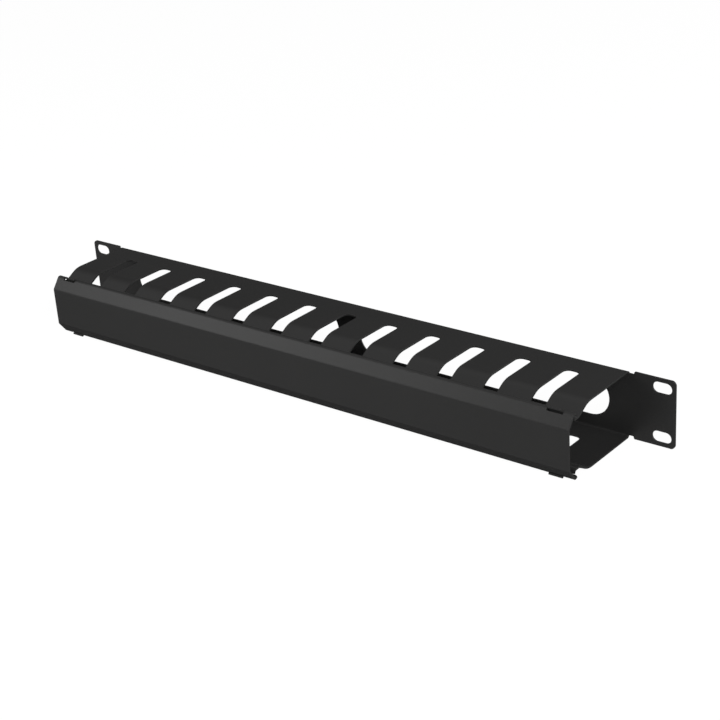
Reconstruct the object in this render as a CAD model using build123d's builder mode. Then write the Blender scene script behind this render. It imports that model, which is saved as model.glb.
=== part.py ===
# Horizontal cable manager, one rack unit high, for a 19-inch rack.
#
# Two folded sheet pieces. The body is a back panel with an ear at each end and two long
# openings, and a row of curled fingers along its top and bottom. The cover is a shallow
# folded channel with inturned lips. It clips onto four spring tongues on the end fingers.
#
# Millimetres. +X is to the right as seen from the front, +Z is up and the front faces -Y.
# The origin is the centre of the four rack slots, on the rear face of the ears.
import os
from math import cos, radians, sin, tan

from build123d import *

os.makedirs("parts", exist_ok=True)

# Sheet
sheet = 1.2

# Back panel and ears
panel_length = 482.6
panel_height = 44.0
ear_width = 27.2
ear_corner_r = 3.0
rack_slot_inset = 8.75
rack_slot_spacing = 31.75
rack_slot_length = 12.5
rack_slot_width = 7.0

# Two long openings in the panel, either side of a bridge
opening_height = 26.0
opening_inset = 13.3
bridge_width = 18.0

# Duct: the two walls folded forward from the panel, clear of the ears
wall_bend_r = 2.6
relief_width = 3.4
relief_depth = 1.8
relief_corner_r = 0.8

# Fingers: the walls are slotted from their front edge. Each finger curls inward, runs down
# a ramp, levels out in a seat and ends in an upturned edge.
finger_count = 13
gap_width = 10.25
gap_end = 16.6
gap_corner_r = 3.8
curl_start = 43.0
curl_r = 16.0
curl_angle = 30.0
ramp_length = 5.4
seat_bend_r = 5.0
seat_length = 1.9
upturn_r = 1.2
upturn_angle = 75.0
upturn_length = 0.9
tip_corner_r = 1.5

# Spring tongues, which carry on from the upturned edges of the four end fingers
tongue_width = 9.4
tongue_below_face = 0.1

# Cover: its bevels and lips are measured to the sharp corners of the folds between them,
# which lie level with the walls' faces
cover_overhang = 1.0
cover_bend_r = 2.4
bevel_depth = 6.7
bevel_height = 8.9
lip_depth = 2.7
lip_angle = 38.0
lip_corner_r = 1.0
tongue_to_front = 5.4

# Notches in the cover's lips that take the tongues
notch_cut = 3.2
seat_gap = 0.3
free_gap = 1.3

# Worked out from the sizes above
wall_face = panel_height / 2
rack_slot_pitch = panel_length - 2 * rack_slot_inset
duct_length = panel_length - 2 * (ear_width + relief_width)
cover_length = duct_length + 2 * cover_overhang
finger_width = (duct_length - (finger_count - 1) * gap_width) / finger_count
finger_pitch = finger_width + gap_width
end_finger_x = (duct_length - finger_width) / 2
opening_length = duct_length / 2 - opening_inset - bridge_width / 2
opening_x = (opening_length + bridge_width) / 2

# A seat's outer face, and the front edge of the bend that ends it
curl_sin, curl_cos = sin(radians(curl_angle)), cos(radians(curl_angle))
seat_z = wall_face - (curl_r + seat_bend_r) * (1 - curl_cos) - ramp_length * curl_sin
seat_y = curl_start + (curl_r + seat_bend_r) * curl_sin + ramp_length * curl_cos + seat_length
rise_sin, rise_cos = sin(radians(upturn_angle)), cos(radians(upturn_angle))
tip_y = seat_y + (upturn_r + sheet) * rise_sin + upturn_length * rise_cos

# A tongue rises on from the upturned edge and rolls over, almost level with the wall.
roll_r = upturn_r + sheet
rise_start_y = seat_y + upturn_r * rise_sin
rise_start_z = seat_z + upturn_r * (1 - rise_cos)
rise_top_z = wall_face - tongue_below_face - roll_r * (1 - rise_cos)
rise_length = (rise_top_z - rise_start_z) / rise_sin
tongue_y = rise_start_y + rise_length * rise_cos + roll_r * rise_sin

front_y = tongue_y + tongue_to_front
fold_y = front_y - bevel_depth
fold_z = wall_face
front_edge_z = fold_z - bevel_height
lip_y = fold_y - lip_depth
lip_z = fold_z - lip_depth * tan(radians(lip_angle))
notch_width = tongue_width + seat_gap + free_gap
notch_x = end_finger_x + (free_gap - seat_gap) / 2


# Body
with BuildPart() as body:
    # Half the duct's section, from the middle of the panel to the tip of a top finger
    with BuildSketch(Plane.YZ) as duct_section:
        with BuildLine():
            back = Line((0, 0), (0, wall_face - wall_bend_r))
            bend = JernArc(start=back @ 1, tangent=back % 1, radius=wall_bend_r, arc_size=90)
            wall = Line(bend @ 1, (-curl_start, wall_face))
            curl = JernArc(start=wall @ 1, tangent=wall % 1, radius=curl_r, arc_size=curl_angle)
            ramp = PolarLine(curl @ 1, ramp_length, direction=curl % 1)
            level = JernArc(start=ramp @ 1, tangent=ramp % 1, radius=seat_bend_r, arc_size=-curl_angle)
            seat = PolarLine(level @ 1, seat_length, direction=level % 1)
            upturn = JernArc(start=seat @ 1, tangent=seat % 1, radius=upturn_r, arc_size=-upturn_angle)
            PolarLine(upturn @ 1, upturn_length, direction=upturn % 1)
            offset(amount=sheet, side=Side.LEFT)
        make_face()
        mirror(about=Plane.XZ)
    extrude(amount=duct_length / 2, both=True)

    # Ears, with a rounded relief notch between each ear and the bends of the two walls
    with BuildSketch(Plane.XZ) as panel:
        Rectangle(panel_length, panel_height)
        with GridLocations(0, panel_height, 1, 2):
            Rectangle(duct_length, 2 * wall_bend_r, mode=Mode.SUBTRACT)
            Rectangle(duct_length + 2 * relief_width, 2 * relief_depth, mode=Mode.SUBTRACT)
        fillet(panel.vertices().group_by(lambda v: abs(v.X))[1], radius=relief_corner_r)
        fillet(panel.vertices().group_by(lambda v: abs(v.X))[-1], radius=ear_corner_r)
        with GridLocations(rack_slot_pitch, rack_slot_spacing, 2, 2):
            SlotOverall(rack_slot_length, rack_slot_width, mode=Mode.SUBTRACT)
    extrude(amount=sheet)

    # The openings are rounded to half a circle at each end
    with BuildSketch(Plane.XZ):
        with GridLocations(2 * opening_x, 0, 2, 1):
            SlotOverall(opening_length, opening_height)
    extrude(amount=sheet, mode=Mode.SUBTRACT)

    # Gaps between the fingers, open at the tips and rounded at their closed ends
    with BuildSketch(Plane.XY) as gaps:
        with Locations((0, -gap_end)):
            with GridLocations(finger_pitch, 0, finger_count - 1, 1):
                Rectangle(gap_width, tip_y, align=(Align.CENTER, Align.MAX))
        fillet(gaps.vertices().group_by(Axis.Y)[-1], radius=gap_corner_r)
    extrude(amount=panel_height, both=True, mode=Mode.SUBTRACT)

    # Rounded corners on every fingertip
    with BuildSketch(Plane.XY):
        with Locations((0, -tip_y)):
            Rectangle(duct_length + 2 * tip_corner_r, 2 * tip_corner_r)
            with GridLocations(finger_pitch, 0, finger_count, 1):
                RectangleRounded(
                    finger_width,
                    4 * tip_corner_r,
                    tip_corner_r,
                    align=(Align.CENTER, Align.MIN),
                    mode=Mode.SUBTRACT,
                )
    extrude(amount=panel_height, both=True, mode=Mode.SUBTRACT)

    # Spring tongues
    with BuildSketch(Plane.YZ.offset(end_finger_x), Plane.YZ.offset(-end_finger_x)):
        with BuildLine():
            rise = PolarLine(
                (-rise_start_y, rise_start_z), rise_length, direction=(-rise_cos, rise_sin)
            )
            JernArc(start=rise @ 1, tangent=rise % 1, radius=roll_r, arc_size=upturn_angle)
            offset(amount=sheet, side=Side.LEFT)
        make_face()
        mirror(about=Plane.XZ)
    extrude(amount=tongue_width / 2, both=True)

body.part.label = "body"
export_step(body.part, "parts/body.step")


# Cover
with BuildPart() as cover:
    # Lip, bevel, front, bevel and lip, in one folded strip
    with BuildSketch(Plane.YZ) as cover_section:
        with BuildLine():
            FilletPolyline(
                (-lip_y, lip_z),
                (-fold_y, fold_z),
                (-front_y, front_edge_z),
                (-front_y, -front_edge_z),
                (-fold_y, -fold_z),
                (-lip_y, -lip_z),
                radius=cover_bend_r,
            )
            offset(amount=sheet, side=Side.LEFT)
        make_face()
    extrude(amount=cover_length / 2, both=True)

    lip_ends = cover.faces().group_by(Axis.Y)[-1]
    fillet(lip_ends.edges().filter_by(Axis.X, reverse=True), radius=lip_corner_r)

    # A notch runs through the lip and a little way down the bevel, square to the sheet
    bevel_down = Vector(-bevel_depth, -bevel_height).normalized()
    bevel_out = Vector(-bevel_height, bevel_depth).normalized()
    cut_edge = Vector(-fold_y, fold_z) + bevel_down * notch_cut
    cut_inside = cut_edge - bevel_out * (2 * sheet)
    cut_outside = cut_edge + bevel_out * sheet
    behind_lip = -(lip_y - sheet)
    above_face = wall_face + sheet
    with BuildSketch(Plane.YZ.offset(notch_x), Plane.YZ.offset(-notch_x)):
        with BuildLine():
            Polyline(
                cut_inside,
                cut_outside,
                (cut_outside.X, above_face),
                (behind_lip, above_face),
                (behind_lip, cut_inside.Y),
                close=True,
            )
        make_face()
        mirror(about=Plane.XZ)
    extrude(amount=notch_width / 2, both=True, mode=Mode.SUBTRACT)

cover.part.label = "cover"
export_step(cover.part, "parts/cover.step")
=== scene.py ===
"""Horizontal cable manager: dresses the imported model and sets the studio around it."""

from math import radians

import bmesh
import bpy
from bpy.props import FloatProperty, FloatVectorProperty, PointerProperty
from mathutils import Matrix, Vector


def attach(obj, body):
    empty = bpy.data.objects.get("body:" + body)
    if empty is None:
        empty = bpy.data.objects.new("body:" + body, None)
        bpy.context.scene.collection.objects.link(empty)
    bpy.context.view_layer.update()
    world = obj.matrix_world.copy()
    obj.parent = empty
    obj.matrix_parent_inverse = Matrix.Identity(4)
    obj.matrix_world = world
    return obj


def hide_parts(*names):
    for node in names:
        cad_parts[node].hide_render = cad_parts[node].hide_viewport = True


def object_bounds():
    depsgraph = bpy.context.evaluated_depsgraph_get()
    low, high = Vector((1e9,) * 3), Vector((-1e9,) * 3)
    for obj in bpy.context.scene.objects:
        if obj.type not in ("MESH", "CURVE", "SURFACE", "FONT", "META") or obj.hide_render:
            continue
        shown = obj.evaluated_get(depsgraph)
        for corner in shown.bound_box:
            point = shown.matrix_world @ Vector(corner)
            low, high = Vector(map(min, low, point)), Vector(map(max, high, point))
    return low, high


bl_info = {
    "name": "Horizontal Cable Manager",
    "version": (1, 0, 0),
    "blender": (4, 5, 0),
    "location": "View3D > Sidebar > Cable Manager",
    "description": "Powder-coated rack cable manager with a finger duct and a clip-on cover",
    "category": "Object",
}

# Edges folded by less than this are the bends of the sheet, and by more its cut edges
CUT_EDGE_ANGLE = radians(60.0)
FLAT_ANGLE = radians(0.5)
WELD_DISTANCE = 1e-6

# In shortest edges: what is rounded whatever it meets, and what is too short to be met
LONG_EDGE = 6.0
SHORT_NEIGHBOUR = 0.6

# Slow drifts over the coat, in tone as a share of the colour and in roughness
DRIFT_SCALE = 14.0
DRIFT_DETAIL = 3.0
TONE_DRIFT = 0.06
ROUGHNESS_DRIFT = 0.03
GRAIN_DETAIL = 2.0

# Where the fine texture begins to hide the gloss, and where it hides it all, from 0 seen
# square on to 1 seen edge on
DULLING_START = 0.25
DULLING_END = 0.6

# The floor glows white for what is seen of it. The rest is paint, which keeps the shadow.
FLOOR_CLEARANCE = 0.0001
FLOOR_GLOW = 1.05
GLOW_SHARE = 0.92
WHITE = (1.0, 1.0, 1.0, 1.0)

# The lamps stand round this point, all as far away and as large
LAMP_AIM = Vector((0.0, -0.035, 0.0))
LAMP_DISTANCE = 1.6
LAMP_SIZE = 0.8
KEY_TOWARDS = Vector((-0.66, -0.56, 0.50))
FILL_TOWARDS = Vector((0.75, -0.45, 0.48))
HIGH_TOWARDS = Vector((-0.35, -0.45, 0.82))
REAR_TOWARDS = Vector((0.55, 0.80, 0.14))

CAMERA_PLACE = Vector((0.64485, -0.76302, 0.43486))
CAMERA_RIGHT = Vector((0.784064, 0.617278, -0.064891))
CAMERA_UP = Vector((-0.210973, 0.363372, 0.907442))
CAMERA_BACK = Vector((0.583724, -0.697803, 0.415136))
CAMERA_SENSOR = 36.0
CAMERA_CLIP_START = 0.05

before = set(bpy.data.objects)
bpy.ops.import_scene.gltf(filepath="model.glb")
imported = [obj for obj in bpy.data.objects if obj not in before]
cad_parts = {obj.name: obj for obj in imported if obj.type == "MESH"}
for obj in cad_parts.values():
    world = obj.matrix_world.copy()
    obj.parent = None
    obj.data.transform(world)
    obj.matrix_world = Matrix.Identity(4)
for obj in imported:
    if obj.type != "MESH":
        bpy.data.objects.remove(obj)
cad_bounds = [list(corner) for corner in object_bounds()]
floor_level = min(corner[2] for corner in cad_bounds) - FLOOR_CLEARANCE


class SheetSettings(bpy.types.PropertyGroup):
    """Cut edges of the two folded sheets"""

    edge_radius: FloatProperty(
        name="Edge radius",
        description="Rounding that the coat gives to the cut edges of the sheet",
        default=0.0002,
        unit="LENGTH",
    )
    shortest_edge: FloatProperty(
        name="Shortest edge",
        description="Shortest piece of an outline that is rounded",
        default=0.0005,
        unit="LENGTH",
    )


class CoatSettings(bpy.types.PropertyGroup):
    """Black powder coat on the body and the cover"""

    colour: FloatVectorProperty(
        name="Colour",
        description="Base colour of the powder coat",
        subtype="COLOR",
        size=3,
        min=0.0,
        max=1.0,
        default=(0.0160, 0.0159, 0.0157),
    )
    roughness: FloatProperty(
        name="Roughness",
        description="Roughness of the coat seen square on",
        min=0.0,
        max=1.0,
        default=0.4,
        subtype="FACTOR",
    )
    grazing_roughness: FloatProperty(
        name="Grazing roughness",
        description="Roughness seen at a low angle, where the fine texture hides the gloss",
        min=0.0,
        max=1.0,
        default=1.0,
        subtype="FACTOR",
    )
    gloss: FloatProperty(
        name="Gloss",
        description="Specular level of the coat",
        min=0.0,
        max=1.0,
        default=0.12,
        subtype="FACTOR",
    )
    grain_size: FloatProperty(
        name="Grain size",
        description="Width of one bump in the coat's fine texture",
        default=0.0007,
        unit="LENGTH",
    )
    grain_height: FloatProperty(
        name="Grain height",
        description="Height of the coat's fine texture",
        default=0.00002,
        unit="LENGTH",
    )


class StageSettings(bpy.types.PropertyGroup):
    """Floor, lights and camera"""

    floor_colour: FloatVectorProperty(
        name="Floor colour",
        description="Colour of the floor",
        subtype="COLOR",
        size=3,
        min=0.0,
        max=1.0,
        default=(0.7, 0.7, 0.7),
    )
    floor_size: FloatProperty(
        name="Floor size",
        description="Length of the floor's side",
        default=12.0,
        unit="LENGTH",
    )
    world_strength: FloatProperty(
        name="World light",
        description="Strength of the even light from all round",
        min=0.0,
        default=0.15,
    )
    key_power: FloatProperty(
        name="Key light",
        description="Power of the large soft light at the front left",
        min=0.0,
        default=11.2,
        unit="POWER",
    )
    fill_power: FloatProperty(
        name="Fill light",
        description="Power of the large soft light at the front right",
        min=0.0,
        default=21.8,
        unit="POWER",
    )
    high_power: FloatProperty(
        name="High light",
        description="Power of the large soft light high above the left end",
        min=0.0,
        default=1.8,
        unit="POWER",
    )
    rear_power: FloatProperty(
        name="Rear light",
        description="Power of the large soft light low behind the right end",
        min=0.0,
        default=14.0,
        unit="POWER",
    )
    lens: FloatProperty(
        name="Lens",
        description="Focal length of the camera",
        default=82.104,
        unit="CAMERA",
    )


def only(piece):
    """Selects one piece and nothing else."""
    bpy.ops.object.select_all(action="DESELECT")
    piece.select_set(True)
    bpy.context.view_layer.objects.active = piece


def sheet_copy(node, name):
    """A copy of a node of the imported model, to be finished as the visible sheet."""
    piece = bpy.data.objects.new(name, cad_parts[node].data.copy())
    bpy.context.scene.collection.objects.link(piece)
    piece.data.materials.clear()
    return piece


def runs_on(edge, cut, shortest):
    """True where the outline goes on past both ends of an edge, with no short piece there."""
    for corner in edge.verts:
        others = [e for e in corner.link_edges if e is not edge and e in cut]
        if len(others) != 1 or others[0].calc_length() < SHORT_NEIGHBOUR * shortest:
            return False
    return True


def round_cut_edges(piece, settings):
    """Welds the sheet, clears the lines across its flats and rounds its cut edges."""
    only(piece)
    bpy.ops.object.mode_set(mode="EDIT")
    bpy.ops.mesh.select_all(action="SELECT")
    bpy.ops.mesh.remove_doubles(threshold=WELD_DISTANCE)
    bpy.ops.mesh.dissolve_limited(angle_limit=FLAT_ANGLE)
    bpy.ops.mesh.select_mode(type="EDGE")
    bpy.ops.mesh.select_all(action="DESELECT")
    mesh = bmesh.from_edit_mesh(piece.data)
    cut = {e for e in mesh.edges if e.is_manifold and e.calc_face_angle() > CUT_EDGE_ANGLE}
    shortest = settings.shortest_edge
    for edge in cut:
        length = edge.calc_length()
        if length > LONG_EDGE * shortest or (length > shortest and runs_on(edge, cut, shortest)):
            edge.select_set(True)
    bmesh.update_edit_mesh(piece.data)
    bpy.ops.transform.edge_bevelweight(value=1.0)
    bpy.ops.object.mode_set(mode="OBJECT")

    bpy.ops.object.modifier_add(type="BEVEL")
    bevel = piece.modifiers[-1]
    bevel.width = settings.edge_radius
    bevel.segments = 2
    bevel.limit_method = "WEIGHT"
    bevel.use_clamp_overlap = False
    bpy.ops.object.modifier_apply(modifier=bevel.name)
    bpy.ops.object.shade_smooth_by_angle(angle=CUT_EDGE_ANGLE)
    bpy.ops.object.modifier_add(type="WEIGHTED_NORMAL")
    normals = piece.modifiers[-1]
    normals.weight = 100
    normals.keep_sharp = True
    bpy.ops.object.modifier_apply(modifier=normals.name)


def make_coat(name, settings):
    """Powder coat: fine grain in relief, with slow drifts of tone and gloss."""
    material = bpy.data.materials.new(name)
    material.use_nodes = True
    nodes, links = material.node_tree.nodes, material.node_tree.links
    shader = nodes["Principled BSDF"]
    shader.inputs["Specular IOR Level"].default_value = settings.gloss

    place = nodes.new("ShaderNodeTexCoord")
    drift = nodes.new("ShaderNodeTexNoise")
    drift.inputs["Scale"].default_value = DRIFT_SCALE
    drift.inputs["Detail"].default_value = DRIFT_DETAIL
    links.new(place.outputs["Object"], drift.inputs["Vector"])

    tone = nodes.new("ShaderNodeValToRGB")
    tone.color_ramp.elements[0].position = 0.3
    tone.color_ramp.elements[1].position = 0.7
    tone.color_ramp.elements[0].color = (*[c * (1.0 - TONE_DRIFT) for c in settings.colour], 1.0)
    tone.color_ramp.elements[1].color = (*[c * (1.0 + TONE_DRIFT) for c in settings.colour], 1.0)
    links.new(drift.outputs["Fac"], tone.inputs["Fac"])
    links.new(tone.outputs["Color"], shader.inputs["Base Color"])

    facing = nodes.new("ShaderNodeLayerWeight")
    facing.inputs["Blend"].default_value = 0.5
    dulling = nodes.new("ShaderNodeMapRange")
    dulling.interpolation_type = "SMOOTHSTEP"
    dulling.inputs["From Min"].default_value = DULLING_START
    dulling.inputs["From Max"].default_value = DULLING_END
    dulling.inputs["To Min"].default_value = settings.roughness
    dulling.inputs["To Max"].default_value = settings.grazing_roughness
    links.new(facing.outputs["Facing"], dulling.inputs["Value"])
    patches = nodes.new("ShaderNodeMapRange")
    patches.inputs["To Min"].default_value = -ROUGHNESS_DRIFT
    patches.inputs["To Max"].default_value = ROUGHNESS_DRIFT
    links.new(drift.outputs["Fac"], patches.inputs["Value"])
    sheen = nodes.new("ShaderNodeMath")
    sheen.operation = "ADD"
    sheen.use_clamp = True
    links.new(dulling.outputs["Result"], sheen.inputs[0])
    links.new(patches.outputs["Result"], sheen.inputs[1])
    links.new(sheen.outputs[0], shader.inputs["Roughness"])

    grain = nodes.new("ShaderNodeTexNoise")
    grain.inputs["Scale"].default_value = 1.0 / settings.grain_size
    grain.inputs["Detail"].default_value = GRAIN_DETAIL
    links.new(place.outputs["Object"], grain.inputs["Vector"])
    relief = nodes.new("ShaderNodeBump")
    relief.inputs["Strength"].default_value = 1.0
    relief.inputs["Distance"].default_value = settings.grain_height
    links.new(grain.outputs["Fac"], relief.inputs["Height"])
    links.new(relief.outputs["Normal"], shader.inputs["Normal"])
    return material


def finish_sheet(context, node, name):
    """The visible sheet that stands for one node: rounded cut edges and the coat."""
    piece = sheet_copy(node, name)
    round_cut_edges(piece, context.scene.sheet)
    piece.data.materials.append(make_coat(name + " powder coat", context.scene.coat))
    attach(piece, node)
    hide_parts(node)


class OBJECT_OT_cable_body(bpy.types.Operator):
    """Finish the body: rack ears, duct walls, fingers and tongues"""

    bl_idname = "object.cable_body"
    bl_label = "Body"

    def execute(self, context):
        finish_sheet(context, "body", "body_sheet")
        return {"FINISHED"}


class OBJECT_OT_cable_cover(bpy.types.Operator):
    """Finish the clip-on cover"""

    bl_idname = "object.cable_cover"
    bl_label = "Cover"

    def execute(self, context):
        finish_sheet(context, "cover", "cover_sheet")
        return {"FINISHED"}


def background_rays(nodes, links):
    """One for what the camera, gloss and glass see of the background, and nought for light."""
    path = nodes.new("ShaderNodeLightPath")
    by_mirror = nodes.new("ShaderNodeMath")
    by_mirror.operation = "MAXIMUM"
    links.new(path.outputs["Is Glossy Ray"], by_mirror.inputs[0])
    links.new(path.outputs["Is Transmission Ray"], by_mirror.inputs[1])
    by_any = nodes.new("ShaderNodeMath")
    by_any.operation = "MAXIMUM"
    links.new(path.outputs["Is Camera Ray"], by_any.inputs[0])
    links.new(by_mirror.outputs[0], by_any.inputs[1])
    return by_any.outputs[0]


class SCENE_OT_cable_stage(bpy.types.Operator):
    """Set the floor, the lights and the camera"""

    bl_idname = "scene.cable_stage"
    bl_label = "Stage"

    def execute(self, context):
        stage = context.scene.stage
        self.add_floor(stage)
        self.add_world(context, stage)
        self.add_lights(stage)
        self.add_camera(context, stage)
        context.scene.view_settings.view_transform = "Standard"
        return {"FINISHED"}

    def add_floor(self, stage):
        bpy.ops.object.select_all(action="DESELECT")
        bpy.ops.mesh.primitive_plane_add(size=stage.floor_size, location=(0.0, 0.0, floor_level))
        bpy.ops.object.transform_apply(location=True, rotation=True, scale=True)
        floor = bpy.context.object
        floor.name = "floor"
        material = bpy.data.materials.new("floor")
        material.use_nodes = True
        nodes, links = material.node_tree.nodes, material.node_tree.links
        nodes.clear()
        out = nodes.new("ShaderNodeOutputMaterial")
        paint = nodes.new("ShaderNodeBsdfDiffuse")
        paint.inputs["Color"].default_value = (*stage.floor_colour, 1.0)
        glow = nodes.new("ShaderNodeEmission")
        glow.inputs["Color"].default_value = WHITE
        glow.inputs["Strength"].default_value = FLOOR_GLOW
        share = nodes.new("ShaderNodeMath")
        share.operation = "MULTIPLY"
        share.inputs[1].default_value = GLOW_SHARE
        links.new(background_rays(nodes, links), share.inputs[0])
        mix = nodes.new("ShaderNodeMixShader")
        links.new(share.outputs[0], mix.inputs[0])
        links.new(paint.outputs[0], mix.inputs[1])
        links.new(glow.outputs[0], mix.inputs[2])
        links.new(mix.outputs[0], out.inputs["Surface"])
        floor.data.materials.append(material)

    def add_world(self, context, stage):
        world = bpy.data.worlds.new("studio")
        context.scene.world = world
        world.use_nodes = True
        nodes, links = world.node_tree.nodes, world.node_tree.links
        nodes.clear()
        out = nodes.new("ShaderNodeOutputWorld")
        seen = nodes.new("ShaderNodeBackground")
        seen.inputs["Color"].default_value = WHITE
        seen.inputs["Strength"].default_value = 1.0
        light = nodes.new("ShaderNodeBackground")
        light.inputs["Color"].default_value = WHITE
        light.inputs["Strength"].default_value = stage.world_strength
        mix = nodes.new("ShaderNodeMixShader")
        links.new(background_rays(nodes, links), mix.inputs[0])
        links.new(light.outputs[0], mix.inputs[1])
        links.new(seen.outputs[0], mix.inputs[2])
        links.new(mix.outputs[0], out.inputs["Surface"])

    def add_lights(self, stage):
        for name, towards, power in (
            ("key light", KEY_TOWARDS, stage.key_power),
            ("fill light", FILL_TOWARDS, stage.fill_power),
            ("high light", HIGH_TOWARDS, stage.high_power),
            ("rear light", REAR_TOWARDS, stage.rear_power),
        ):
            bpy.ops.object.light_add(type="AREA")
            lamp = bpy.context.object
            lamp.name = name
            lamp.data.shape = "DISK"
            lamp.data.size = LAMP_SIZE
            lamp.data.energy = power
            direction = towards.normalized()
            lamp.location = LAMP_AIM + direction * LAMP_DISTANCE
            lamp.rotation_euler = direction.to_track_quat("Z", "Y").to_euler()

    def add_camera(self, context, stage):
        bpy.ops.object.camera_add()
        camera = bpy.context.object
        camera.name = "camera"
        camera.data.lens = stage.lens
        camera.data.sensor_width = CAMERA_SENSOR
        camera.data.clip_start = CAMERA_CLIP_START
        turn = Matrix((CAMERA_RIGHT, CAMERA_UP, CAMERA_BACK)).transposed()
        camera.matrix_world = Matrix.Translation(CAMERA_PLACE) @ turn.to_4x4()
        context.scene.camera = camera


class VIEW3D_PT_cable_manager(bpy.types.Panel):
    """Settings and steps of the cable manager"""

    bl_label = "Cable Manager"
    bl_space_type = "VIEW_3D"
    bl_region_type = "UI"
    bl_category = "Cable Manager"

    def draw(self, context):
        layout = self.layout
        scene = context.scene
        for group in (scene.sheet, scene.coat, scene.stage):
            for name in group.__annotations__:
                layout.prop(group, name)
        for operator in (OBJECT_OT_cable_body, OBJECT_OT_cable_cover, SCENE_OT_cable_stage):
            layout.operator(operator.bl_idname)


classes = (
    SheetSettings,
    CoatSettings,
    StageSettings,
    OBJECT_OT_cable_body,
    OBJECT_OT_cable_cover,
    SCENE_OT_cable_stage,
    VIEW3D_PT_cable_manager,
)


def register():
    for cls in classes:
        bpy.utils.register_class(cls)
    bpy.types.Scene.sheet = PointerProperty(type=SheetSettings)
    bpy.types.Scene.coat = PointerProperty(type=CoatSettings)
    bpy.types.Scene.stage = PointerProperty(type=StageSettings)


def unregister():
    del bpy.types.Scene.stage
    del bpy.types.Scene.coat
    del bpy.types.Scene.sheet
    for cls in reversed(classes):
        bpy.utils.unregister_class(cls)


def main():
    register()
    bpy.ops.object.cable_body()
    bpy.ops.object.cable_cover()
    bpy.ops.scene.cable_stage()


if __name__ == "__main__":
    main()
